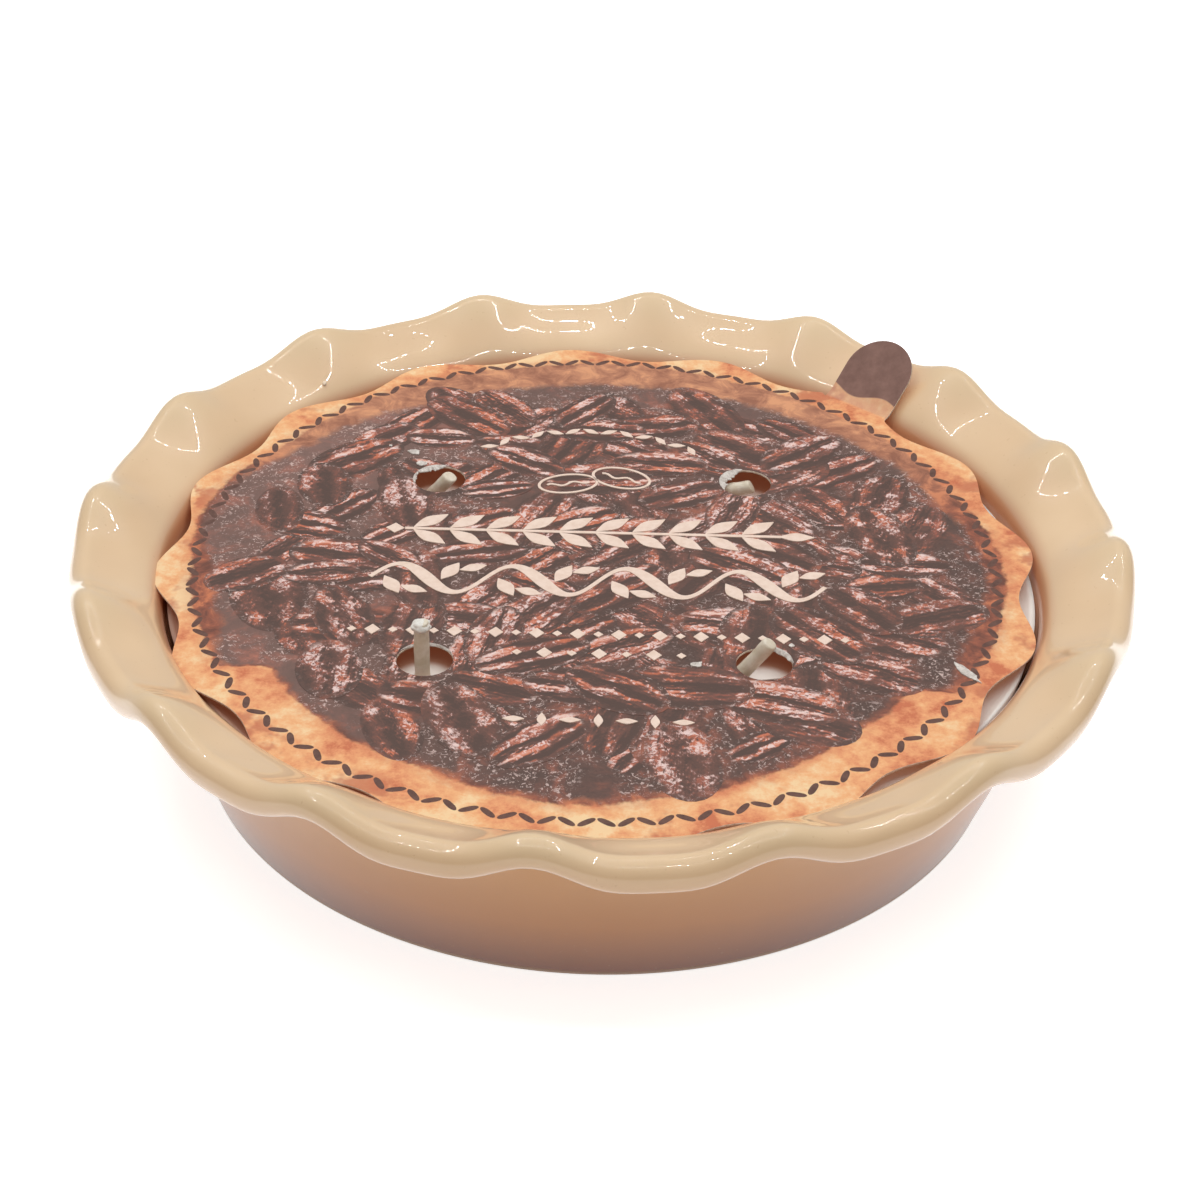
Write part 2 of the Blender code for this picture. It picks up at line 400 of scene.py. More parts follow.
def spin_outline(outline, steps):
    """Spin an outline that starts and ends on the upright axis into a closed turned body."""
    let_go()
    bpy.ops.mesh.primitive_circle_add(vertices=len(outline), radius=1.0)
    body = bpy.context.object
    for vertex, (radius, height) in zip(body.data.vertices, outline):
        vertex.co = (radius, 0.0, height)
    last = len(outline) - 1
    bpy.ops.object.mode_set(mode="EDIT")
    bpy.ops.mesh.select_all(action="DESELECT")
    bpy.ops.object.mode_set(mode="OBJECT")
    for edge in body.data.edges:
        edge.select = set(edge.vertices) == {0, last}
    bpy.ops.object.mode_set(mode="EDIT")
    bpy.ops.mesh.delete(type="EDGE")
    bpy.ops.mesh.select_all(action="SELECT")
    bpy.ops.mesh.spin(steps=steps, angle=math.tau, center=(0.0, 0.0, 0.0), axis=(0.0, 0.0, 1.0))
    bpy.ops.mesh.select_all(action="SELECT")
    bpy.ops.mesh.remove_doubles(threshold=0.01 * MM)
    bpy.ops.mesh.normals_make_consistent(inside=False)
    bpy.ops.object.mode_set(mode="OBJECT")
    return body


def make_dish():
    inside = list(reversed(inner_wall()))
    lip = list(reversed(arc((RIM_RADIUS - LIP_RADIUS, LIP_HEIGHT), LIP_RADIUS, 120, -100, 20)))
    under = [(0.0, outer_wall()[0][1])]
    floor = [(50.0 * MM, inside[-1][1]), (0.0, inside[-1][1])]
    spin_outline(under + outer_wall() + lip[1:-1] + inside + floor, 320)
    dish = named("glazed_dish")
    press_flutes(dish.data)
    hand_wobble(dish.data, 0.4 * MM, 0.07)
    bpy.ops.object.shade_smooth()
    dress(dish, glaze_look(), "glaze", "dish")


# ---------------------------------------------------------------- wax

def wax_look():
    look = Look("cream_wax", Roughness=0.42, Coat_Weight=0.15, Coat_Roughness=0.3)
    spot = look.places()
    cloud = look.noise(spot, 60.0, 4.0)
    color = look.ramp(cloud, (0.3, tint(226, 220, 212)), (0.7, tint(238, 233, 226)))
    x, y, _ = look.split(spot)
    # Painted shade: the wax under the card, away from the wick holes and from the lit open edge at the right,
    # is tinted brown for the shade and the brown light bounced off the card's back.
    under_card_shade = 1.0
    for centre in hole_centres():
        across, back = x - centre.x, y - centre.y
        away = (across * across + back * back).root()
        under_card_shade = look.fade(away, 6.0 * MM, 8.6 * MM) * under_card_shade
    open_edge = look.fade((x * x + y * y).root(), 97 * MM, 101 * MM) * look.fade(x, -5 * MM, 30 * MM)
    color = look.mix(under_card_shade * (1.0 - open_edge) * 0.88, color, tint(170, 122, 96))
    grain = look.noise(spot, 700.0, 3.0)
    return look.ends(Base_Color=color, Normal=look.bump(cloud * 0.6 + grain * 0.1, 0.4, 0.0008))


def make_wax():
    gap = 0.5 * MM
    edge = (wax_high.x - wax_low.x) / 2 - 0.4 * MM
    top = wax_high.z
    stations = [(84.0 * MM, wax_low.z), (95.0 * MM, wax_low.z + 5 * MM), (101.0 * MM, 24.0 * MM),
                (edge - gap, top - 4 * MM), (edge + gap, top + 1.8 * MM), (edge - 0.9 * MM, top + 1.1 * MM),
                (edge - 2.4 * MM, top + 0.5 * MM), (edge - 4 * MM, top + 0.2 * MM),
                (96 * MM, top), (86 * MM, top)]
    stations += [(size * MM, top) for size in (76, 68, 62, 58, 54, 50, 44, 36, 24, 12)]
    walk_rings(160, stations)
    wax = named("poured_wax")
    for vertex in wax.data.vertices:
        swell = noise.noise(vertex.co / 0.02) * 0.25 * MM
        vertex.co.z += swell * smooth_step(vertex.co.z, top - 1 * MM, top)
    bpy.ops.object.shade_smooth()
    dress(wax, wax_look(), "wax", "wax")


# ---------------------------------------------------------------- dust cover

def across_card(point):
    """A direction along the tab and one across it, for a point measured from the card's middle."""
    along = Vector((math.cos(TAB_ANGLE), math.sin(TAB_ANGLE), 0.0))
    side = Vector((-along.y, along.x, 0.0))
    return point.dot(along), point.dot(side)


def scalloped(angle):
    """The card's edge; it is trimmed where it would press into the dish, most of all at the front."""
    radius = CARD_RADIUS + CARD_SCALLOP * math.cos(FLUTES * (angle - FIRST_LOBE))
    radius += 2.0 * MM * max(-math.sin(angle), 0.0) ** 2
    spot = Vector((math.cos(angle), math.sin(angle) / CARD_SHORT, 0.0)) * radius
    limit = (112.3 + 1.1 * math.sin(angle)) * MM
    actual = Vector((spot.x + CARD_CENTRE.x, spot.y * CARD_SHORT, 0.0))
    return spot * min(limit / actual.length, 1.0)


def seat(piece):
    """Lean a flat card shape on the dish, a little higher at the back than at the front."""
    for vertex in piece.data.vertices:
        vertex.co.y *= CARD_SHORT
        vertex.co.z += vertex.co.y * CARD_SLOPE
    return piece


def card_outline(steps=512):
    """The scalloped edge, with the tab's straight sides and round end let into it."""
    points = []
    for step in range(steps):
        spot = scalloped(TAB_ANGLE + math.tau * (step + 0.5) / steps)
        along, side = across_card(spot)
        if abs(side) > TAB_HALF + 0.6 * MM or along < 0.0:
            points.append(spot)
    along = Vector((math.cos(TAB_ANGLE), math.sin(TAB_ANGLE), 0.0))
    side = Vector((-along.y, along.x, 0.0))
    end = TAB_REACH - TAB_HALF
    points += [along * reach - side * TAB_HALF for reach in (TAB_FOLD + 1 * MM, TAB_FOLD + 6 * MM)]
    for step in range(25):
        turn = math.pi * (step / 24 - 0.5)
        points.append(along * (end + TAB_HALF * math.cos(turn)) + side * TAB_HALF * math.sin(turn))
    points += [along * reach + side * TAB_HALF for reach in (TAB_FOLD + 6 * MM, TAB_FOLD + 1 * MM)]
    return [spot + CARD_CENTRE for spot in points]


def hole_centres():
    turn = Matrix.Rotation(CARD_TURN, 3, "Z")
    halves = (-0.5, 0.5)
    corners = [Vector((HOLE_SPACING.x * i, HOLE_SPACING.y * j, 0.0)) for i in halves for j in halves]
    return [turn @ corner + CARD_CENTRE + HOLE_SHIFT for corner in corners]


def bent_tab(point):
    """Where a point of the flat card lies once the tab is bent up over a round crease."""
    spot = point - CARD_CENTRE
    reach, _ = across_card(spot)
    past = reach - TAB_FOLD
    if past <= 0.0:
        return point
    along = Vector((math.cos(TAB_ANGLE), math.sin(TAB_ANGLE), 0.0))
    turn = min(past / TAB_CURL, TAB_LIFT)
    straight = max(past - TAB_CURL * TAB_LIFT, 0.0)
    centre_line = along * (TAB_CURL * math.sin(turn) + straight * math.cos(turn))
    rise = TAB_CURL * (1.0 - math.cos(turn)) + straight * math.sin(turn)
    thick = point.z - CARD_TOP
    normal = Vector((0, 0, 1)) * math.cos(turn) - along * math.sin(turn)
    foot = Vector((point.x, point.y, CARD_TOP)) - along * past
    return foot + centre_line + Vector((0, 0, rise)) + normal * thick


def flat_sheet(name, loops, thickness):
    """A flat sheet from closed outlines, the inner ones cut as holes, made a mesh."""
    let_go()
    bpy.ops.curve.primitive_bezier_circle_add(radius=1.0)
    sheet = bpy.context.object
    curve = sheet.data
    curve.splines.clear()
    curve.dimensions = "2D"
    curve.fill_mode = "BOTH"
    curve.extrude = thickness / 2
    for points in loops:
        spline = curve.splines.new("POLY")
        spline.points.add(len(points) - 1)
        for point, place in zip(spline.points, points):
            point.co = (place.x, place.y, 0.0, 1.0)
        spline.use_cyclic_u = True
    bpy.ops.object.convert(target="MESH")
    sheet = named(name)
    bpy.ops.object.mode_set(mode="EDIT")
    bpy.ops.mesh.select_all(action="SELECT")
    bpy.ops.mesh.remove_doubles(threshold=0.001 * MM)
    bpy.ops.mesh.normals_make_consistent(inside=False)
    bpy.ops.object.mode_set(mode="OBJECT")
    sheet.location = (0.0, 0.0, CARD_TOP - thickness / 2)
    return settle(sheet)


def score_tab():
    """Cut lines across the tab so that it can bend."""
    along = Vector((math.cos(TAB_ANGLE), math.sin(TAB_ANGLE), 0.0))
    bpy.ops.object.mode_set(mode="EDIT")
    for step in range(16):
        place = CARD_CENTRE + along * (TAB_FOLD + 0.35 * MM * step + 0.02 * MM)
        bpy.ops.mesh.select_all(action="SELECT")
        bpy.ops.mesh.bisect(plane_co=place, plane_no=along)
    bpy.ops.object.mode_set(mode="OBJECT")


def polar(look):
    """Place, radius and turn (from 0 to 1) round the print's middle."""
    x, y, _ = look.split(look.places())
    x = x - PRINT_CENTRE.x
    y = y / CARD_SHORT
    radius = (x * x + y * y).root()
    turn = look.add("ShaderNodeMath", {"operation": "ARCTAN2"}, {0: y, 1: x}) / math.tau
    return x, y, radius, look.add("ShaderNodeMath", {"operation": "WRAP"}, {0: turn, 1: 1.0, 2: 0.0})


def round_the_pie(look, turn, stops):
    """A radius that changes round the pie, from (degrees, millimetres) stops."""
    low, span = 80.0, 40.0
    ramped = [(degrees / 360, ((size - low) / span,) * 3 + (1.0,)) for degrees, size in stops]
    return look.ramp(turn, *ramped) * (span * MM) + low * MM


CRUST_EDGE = [(0, 103.5), (10, 103.0), (24, 101.5), (60, 104), (90, 107), (120, 105), (148, 102),
              (158, 104.5), (172, 104.5), (184, 102), (205, 101), (209, 103), (213, 92), (226, 94.5),
              (246, 96.5), (265, 101.5), (285, 99), (305, 95), (325, 92), (328, 103), (338, 102), (360, 103.5)]
FILLING_EDGE = [(0, 98), (22, 95), (60, 93.5), (90, 93.5), (120, 93), (150, 97), (162, 103), (175, 101),
                (184, 95), (200, 95), (209, 101), (213, 90.5), (226, 92.5), (246, 94), (265, 99),
                (285, 96.5), (305, 92.5), (325, 90), (328, 99), (338, 95), (360, 98)]


def filling_color(look, spot):
    """The dark caramel between the nuts, with red-brown smears and bright grains."""
    smear = look.noise(spot, 100.0, 5.0, 0.65, 0.5)
    grain = look.noise(spot, 900.0, 3.0, 0.7)
    dark = look.ramp(smear, (0.40, tint(92, 72, 65)), (0.52, tint(104, 77, 69)), (0.60, tint(130, 84, 71)),
                     (0.70, tint(164, 100, 80)))
    color = look.mix(look.fade(grain, 0.45, 0.7) * 0.3, dark, tint(72, 56, 51))
    wet = look.noise(spot, 70.0, 3.0)
    glint = look.noise(spot, 760.0, 3.0, 0.7, 1.2)
    share = look.fade(glint, 0.555, 0.63) * look.fade(wet, 0.36, 0.54)
    return look.mix(share * 0.85, color, tint(206, 182, 174))


def crust_color(look, spot):
    """Baked pastry: cream to gold with toasted patches and a fine crumb."""
    patch = look.noise(spot, 70.0, 4.0, 0.55, 0.4)
    crumb = look.noise(spot, 360.0, 4.0, 0.62)
    fine = look.noise(spot, 1600.0, 2.0, 0.6)
    x, y, _ = look.split(spot)
    paler = look.fade(x, 60.0 * MM, -40.0 * MM) + look.fade(y, 20.0 * MM, 90.0 * MM) * 0.5
    tone = patch * 0.62 + crumb * 0.28 + fine * 0.10 + paler * 0.050 - 0.022
    return look.ramp(tone, (0.37, tint(200, 114, 78)), (0.445, tint(224, 150, 104)),
                     (0.52, tint(234, 174, 122)), (0.61, tint(238, 203, 156)))


def print_color(look):
    """The printed pie: filling, browned band, crust and the tab's plain brown."""
    spot = look.places()
    x, y, radius, turn = polar(look)
    ragged = look.noise(spot, 190.0, 5.0, 0.65) - 0.5
    loose = look.noise(spot, 45.0, 2.0) - 0.5
    edge = round_the_pie(look, turn, CRUST_EDGE) + ragged * (4.0 * MM) + loose * (3.0 * MM)
    inner = round_the_pie(look, turn, FILLING_EDGE) + ragged * (6.0 * MM) + loose * (4.0 * MM)
    back = look.fade(y, 20.0 * MM, 70.0 * MM)
    streak = look.noise(spot, 150.0, 5.0, 0.65, 0.6)
    front_band = look.ramp(streak, (0.38, tint(112, 70, 58)), (0.50, tint(150, 88, 68)),
                           (0.62, tint(196, 118, 82)))
    back_band = look.ramp(streak, (0.36, tint(150, 98, 76)), (0.52, tint(184, 126, 96)),
                          (0.64, tint(214, 152, 112)))
    band = look.mix(back, front_band, back_band)
    # Painted sheen: the filling is lightened towards the left and the back.
    painted_sheen = look.fade(x, -10.0 * MM, -80.0 * MM) * 0.10 + look.fade(y, 10.0 * MM, 80.0 * MM) * 0.07
    filling = look.mix(painted_sheen, filling_color(look, spot), tint(226, 176, 162))
    crust = crust_color(look, spot)
    outer = look.fade(radius, 101.0 * MM, 107.0 * MM)
    toasted = look.fade(look.noise(spot, 60.0, 4.0, 0.6) + outer * 0.05, 0.60, 0.68) * outer
    crust = look.mix(toasted * 0.75, crust, tint(188, 106, 76))
    past = radius - edge
    singe = look.fade(past, 4.0 * MM, 0.0) * (0.32 + ragged)
    crust = look.mix(singe, crust, tint(192, 108, 76))
    baked = look.mix(look.fade(radius - inner, -1.0 * MM, 2.4 * MM), filling, band)
    color = look.mix(look.fade(past, -0.7 * MM, 0.6 * MM), baked, crust)
    along = x * math.cos(TAB_ANGLE) + y * math.sin(TAB_ANGLE)
    side = y * math.cos(TAB_ANGLE) - x * math.sin(TAB_ANGLE)
    wave = (side * (math.tau / (19.0 * MM)) + 2.2).cos() * (0.9 * MM)
    on_tab = look.fade(along - wave, 114.2 * MM, 114.6 * MM)
    foot = look.fade(along, 110.5 * MM, 111.5 * MM)
    scuff = look.ramp(look.noise(spot, 300.0, 5.0, 0.6), (0.35, tint(122, 90, 80)), (0.7, tint(140, 106, 95)))
    color = look.mix(foot * 0.5, color, tint(196, 156, 130))
    return look.mix(on_tab, color, scuff)


def card_look():
    look = Look("pie_print", Roughness=0.42, Specular_IOR_Level=0.25)
    color = print_color(look)
    grain = look.noise(look.places(), 1500.0, 2.0)
    return look.ends(Base_Color=color, Normal=look.bump(grain, 0.08, 0.0003))


def paper_look(name, light, dark):
    look = Look(name, Roughness=0.85)
    fibre = look.noise(look.places(), 900.0, 4.0, 0.7, 0.5)
    color = look.ramp(fibre, (0.35, dark), (0.65, light))
    return look.ends(Base_Color=color, Normal=look.bump(fibre, 0.3, 0.0004))


def make_card():
    loops = [card_outline()]
    rng = random.Random(5)
    for centre in hole_centres():
        ring = []
        for step in range(72):
            turn = math.tau * step / 72
            radius = HOLE_RADIUS + rng.uniform(-0.06, 0.06) * MM
            ring.append(centre + Vector((math.cos(turn), math.sin(turn), 0.0)) * radius)
        loops.append(ring)
    card = flat_sheet("dust_cover", loops, CARD_THICKNESS)
    score_tab()
    for vertex in card.data.vertices:
        vertex.co = bent_tab(vertex.co)
    seat(card)
    card.data.materials.clear()
    card.data.materials.append(card_look())
    card.data.materials.append(paper_look("cut_paper_edge", tint(236, 222, 204), tint(196, 172, 150)))
    back = paper_look("kraft_back", tint(190, 138, 100), tint(168, 116, 80))
    # The card's brown back glows faintly: painted light standing in for light bounced under the card into the
    # wick holes.
    painted_glow = back.node_tree.nodes["Principled BSDF"].inputs
    painted_glow["Emission Color"].default_value = tint(190, 128, 96)
    painted_glow["Emission Strength"].default_value = 0.35
    card.data.materials.append(back)
    for face in card.data.polygons:
        lean = face.normal.z
        face.material_index = 0 if lean > 0.5 else 2 if lean < -0.5 else 1
    hand_over(card, "printed_card", "card")
    return card


# ---------------------------------------------------------------- printed shapes

def flat_disc(name, corners):
    """A single round face of radius 1 with a map that runs from -1 to 1."""
    let_go()
    bpy.ops.mesh.primitive_circle_add(vertices=corners, radius=1.0, fill_type="NGON")
    disc = named(name)
    layer = disc.data.uv_layers[0] if disc.data.uv_layers else disc.data.uv_layers.new(name="UVMap")
    layer.name = "UVMap"
    for loop in disc.data.loops:
        spot = disc.data.vertices[loop.vertex_index].co
        layer.data[loop.index].uv = (spot.x, spot.y)
    return disc


def place_copy(master, matrix, marks=None):
    """A copy of the master with its own mesh, placed by a matrix, with marks on its points."""
    mesh = master.data.copy()
    mesh.transform(matrix)
    for name, value in (marks or {}).items():
        attribute = mesh.attributes.new(name, "FLOAT_VECTOR", "POINT")
        attribute.data.foreach_set("vector", list(value) * len(mesh.vertices))
    copy = bpy.data.objects.new(master.name + "_copy", mesh)
    bpy.context.scene.collection.objects.link(copy)
    return copy


def join_all(pieces, name):
    let_go()
    for piece in pieces:
        piece.select_set(True)
    bpy.context.view_layer.objects.active = pieces[0]
    if len(pieces) > 1:
        bpy.ops.object.join()
    return named(name)


def lying(place, turn, half_length, half_width, height):
    scale = Matrix.Diagonal((half_length, half_width, 1.0, 1.0))
    return Matrix.Translation((place.x, place.y, height)) @ Matrix.Rotation(turn, 4, "Z") @ scale


def thicken(piece, depth):
    """Give flat faces a thickness downwards, which closes each of them."""
    let_go()
    bpy.context.view_layer.objects.active = piece
    bpy.ops.object.mode_set(mode="EDIT")
    bpy.ops.mesh.select_all(action="SELECT")
    bpy.ops.mesh.extrude_region_move(TRANSFORM_OT_translate={"value": (0.0, 0.0, -depth)})
    bpy.ops.mesh.select_all(action="SELECT")
    bpy.ops.mesh.normals_make_consistent(inside=False)
    bpy.ops.object.mode_set(mode="OBJECT")


def punch_hole(piece, centre, sides=20):
    """Cut a round hole through flat faces, one side at a time."""
    reach = HOLE_RADIUS + 0.1 * MM
    let_go()
    bpy.context.view_layer.objects.active = piece
    bpy.ops.object.mode_set(mode="EDIT")
    for side in range(sides):
        out = Vector((math.cos(math.tau * side / sides), math.sin(math.tau * side / sides), 0.0))
        bpy.ops.mesh.select_all(action="SELECT")
        bpy.ops.mesh.bisect(plane_co=centre + out * reach, plane_no=out)
    bpy.ops.mesh.select_all(action="DESELECT")
    bpy.ops.object.mode_set(mode="OBJECT")
    for face in piece.data.polygons:
        face.select = (face.center - centre).xy.length < reach
    bpy.ops.object.mode_set(mode="EDIT")
    bpy.ops.mesh.delete(type="FACE")
    bpy.ops.object.mode_set(mode="OBJECT")


def near_hole(spot, reach):
    """The number of the hole that a shape reaches, or None."""
    for number, centre in enumerate(hole_centres()):
        if (spot - centre).xy.length < HOLE_RADIUS + reach + 0.5 * MM:
            return number
    return None


def lay_nuts(rng):
    """Nut halves packed over the filling: (place, turn, half length, half width)."""
    nuts = []
    pitch = 14.5 * MM
    for row in range(-8, 9):
        for column in range(-8, 9):
            spot = Vector(((column + 0.5 * (row % 2)) * pitch * 1.12, row * pitch * 0.80, 0.0))
            spot += Vector((rng.uniform(-1, 1), rng.uniform(-1, 1), 0.0)) * (4.6 * MM)
            turn = rng.uniform(0.0, math.pi)
            half_length = rng.uniform(9.5, 16.5) * MM
            half_width = half_length * rng.uniform(0.50, 0.66)
            if spot.length > 96.0 * MM - half_width:
                continue
            nuts.append((spot + CARD_CENTRE, turn, half_length, half_width))
    rng.shuffle(nuts)
    return nuts


def nut_levels(nuts):
    """A layer for each nut, so that nuts that overlap lie on different layers."""
    levels = []
    for index, (spot, _, size, _) in enumerate(nuts):
        taken = {levels[k] for k in range(index) if (nuts[k][0] - spot).length < (nuts[k][2] + size)}
        level = 0
        while level in taken:
            level += 1
        levels.append(level)
    return levels


def nut_height(look, u, v, seed, count):
    """The relief of one nut half: a dome with a groove down its middle and wavy ridges beside it."""
    taper = (1.0 - 0.66 * u * u).most(0.05).root()
    place = look.add("ShaderNodeCombineXYZ", None, {0: u * 1.1, 1: v * 1.4, 2: 0.0})
    place = look.add("ShaderNodeVectorMath", {"operation": "ADD"}, {0: place, 1: seed})
    sway = look.noise(place, 1.5, 2.0) - 0.5
    crinkle = look.noise(place, 6.0, 4.0, 0.65) - 0.5
    lane = v / taper + sway * 0.55
    dome = (1.0 - (u * u + v * v).least(1.0)).root()
    ridges = 0.0 - (lane * count).cos()
    fine = (lane * (math.pi * 7.5) + crinkle * 6.0).cos()
    return dome * 0.42, ridges * 0.26 + fine * 0.05 + crinkle * 0.62, ridges


def nut_look():
    look = Look("nut_print", Roughness=0.42, Specular_IOR_Level=0.25)
    spot = look.places()
    map_u, map_v, _ = look.split(look.add("ShaderNodeUVMap", {"uv_map": "UVMap"}))
    seed = look.add("ShaderNodeAttribute", {"attribute_name": "nut_seed"}, out="Vector")
    aim = look.add("ShaderNodeAttribute", {"attribute_name": "nut_aim"}, out="Vector")
    kind = look.add("ShaderNodeAttribute", {"attribute_name": "nut_kind"}, out="Vector")
    light_u, light_v, tone = look.split(aim)
    count, wetness, redness = look.split(kind)
    dome, relief, ridges = nut_height(look, map_u, map_v, seed, count)
    far_dome, far_relief, _ = nut_height(look, map_u + light_u, map_v + light_v, seed, count)
    lit = (dome - far_dome) * 1.7 + (relief - far_relief) * 1.15
    reach = (map_u * map_u + map_v * map_v).root()
    ragged = look.noise(spot, 230.0, 4.0, 0.65) - 0.5
    rim = look.fade(reach + ragged * 0.5, 0.98, 0.80)
    grain = look.noise(spot, 1100.0, 4.0, 0.75) - 0.5
    patch = look.noise(spot, 120.0, 4.0, 0.6)
    lively = look.fade(patch + tone * 0.035, 0.42, 0.60)
    value = lit * (0.65 + 1.0 * lively) + ridges * 0.13 + 0.22 + lively * 0.22 + grain * 0.34
    color = look.ramp(value, (0.12, tint(88, 68, 61)), (0.32, tint(108, 77, 68)), (0.47, tint(136, 85, 72)),
                      (0.62, tint(164, 97, 79)), (0.78, tint(196, 128, 108)), (0.95, tint(226, 188, 174)))
    warm = look.fade(look.noise(spot, 85.0, 2.0) + redness * 0.2, 0.50, 0.62) * look.fade(value, 0.34, 0.58)
    color = look.mix(warm * 0.6, color, tint(206, 114, 78))
    glint = look.noise(spot, 560.0, 4.0, 0.75, 1.0)
    wet = look.fade(value, 0.34, 0.58) * look.fade(glint + wetness * 0.03 + lively * 0.04, 0.53, 0.60)
    color = look.mix(wet * 0.9, color, tint(228, 204, 198))
    color = look.mix(rim, filling_color(look, spot), color)
    return look.ends(Base_Color=color, Normal=look.bump(look.noise(spot, 1500.0, 2.0), 0.08, 0.0003))


def make_nuts():
    rng = random.Random(11)
    master = flat_disc("nut", 28)
    nuts = lay_nuts(rng)
    levels = nut_levels(nuts)
    light = math.radians(105)
    groups = {}
    for (spot, turn, long, wide), level in zip(nuts, levels):
        step = 0.75 * MM
        marks = {
            "nut_aim": (step / long * math.cos(light - turn), step / wide * math.sin(light - turn),
                        rng.gauss(0, 0.8)),
            "nut_seed": [rng.uniform(0, 40) for _ in range(3)],
            "nut_kind": (rng.uniform(1.5, 2.9) * math.pi, rng.uniform(-1, 1), rng.uniform(-0.2, 0.4)),
        }
        matrix = lying(spot, turn, long, wide, CARD_TOP + INK * (level + 1))
        groups.setdefault(near_hole(spot, long), []).append(place_copy(master, matrix, marks))
    bpy.data.objects.remove(master, do_unlink=True)
    sheets = []
    for number, pieces in groups.items():
        sheet = join_all(pieces, "nut_group")
        if number is not None:
            punch_hole(sheet, hole_centres()[number])
        sheets.append(sheet)
    nuts_piece = join_all(sheets, "printed_nuts")
    thicken(nuts_piece, INK * (max(levels) + 2))
    dress(seat(nuts_piece), nut_look(), "printed_card")


def ink_look(name, light, dark):
    look = Look(name, Roughness=0.42, Specular_IOR_Level=0.25)
    wear = look.noise(look.places(), 500.0, 4.0, 0.6)
    return look.ends(Base_Color=look.ramp(wear, (0.35, dark), (0.6, light)))


def make_stitches():
    """The printed border: pairs of seed-shaped dashes set in a zig-zag."""
    master = flat_disc("dash", 16)
    for vertex in master.data.vertices:
        vertex.co.y = math.copysign(max(1.0 - abs(vertex.co.x) ** 2.8, 0.0) ** 0.55, vertex.co.y)
    dashes = []
    for number in range(STITCH_PAIRS * 2):
        turn = math.tau * (number + 0.5) / (STITCH_PAIRS * 2) + math.radians(1.0)
        spot = Vector((math.cos(turn), math.sin(turn) * STITCH_STRETCH, 0.0)) * STITCH_RADIUS + PRINT_CENTRE
        lean = math.radians(36) * (1 if number % 2 else -1)
        matrix = lying(spot, turn + math.pi / 2 + lean, 2.42 * MM, 0.84 * MM, CARD_TOP + INK)
        dashes.append(place_copy(master, matrix))
    bpy.data.objects.remove(master, do_unlink=True)
    stitches = join_all(dashes, "printed_stitches")
    thicken(stitches, INK * 2)
    dress(seat(stitches), ink_look("stitch_ink", tint(108, 78, 68), tint(92, 64, 56)), "printed_card")


# ---------------------------------------------------------------- plain ornament in cream ink

ORNAMENT_TOP = CARD_TOP + INK * 22


def leaf_shape(bluntness=0.75):
    """A pointed leaf: a disc drawn in towards its two ends."""
    leaf = flat_disc("leaf", 24)
    for vertex in leaf.data.vertices:
        vertex.co.y *= 1.0 - bluntness * abs(vertex.co.x) ** 1.6
    return leaf


def diamond_shape():
    return flat_disc("diamond", 4)


def wave_band(name, start, stop, height_at, thickness_at, steps=150):
    """A ribbon along x whose middle line and thickness vary."""
    let_go()
    bpy.ops.mesh.primitive_grid_add(x_subdivisions=steps, y_subdivisions=1, size=2.0)
    band = named(name)
    for vertex in band.data.vertices:
        share = (vertex.co.x + 1.0) / 2
        side = 1.0 if vertex.co.y > 0 else -1.0
        x = start + (stop - start) * share
        slope = (height_at(x + 0.1) - height_at(x - 0.1)) / 0.2
        normal = Vector((-slope, 1.0)).normalized() * side * thickness_at(x) / 2
        vertex.co = ((x + normal.x) * MM, (height_at(x) + normal.y) * MM, ORNAMENT_TOP)
    return band


def ring_band(name, centre, half_width, half_height, line, turn):
    """A thin oval outline."""
    let_go()
    bpy.ops.mesh.primitive_circle_add(vertices=48, radius=1.0, fill_type="NGON")
    ring = named(name)
    ring.data.transform(lying(centre * MM, turn, half_width * MM, half_height * MM, ORNAMENT_TOP))
    bpy.ops.object.mode_set(mode="EDIT")
    bpy.ops.mesh.select_all(action="SELECT")
    bpy.ops.mesh.inset(thickness=line * MM)
    bpy.ops.mesh.delete(type="FACE")
    bpy.ops.object.mode_set(mode="OBJECT")
    return ring


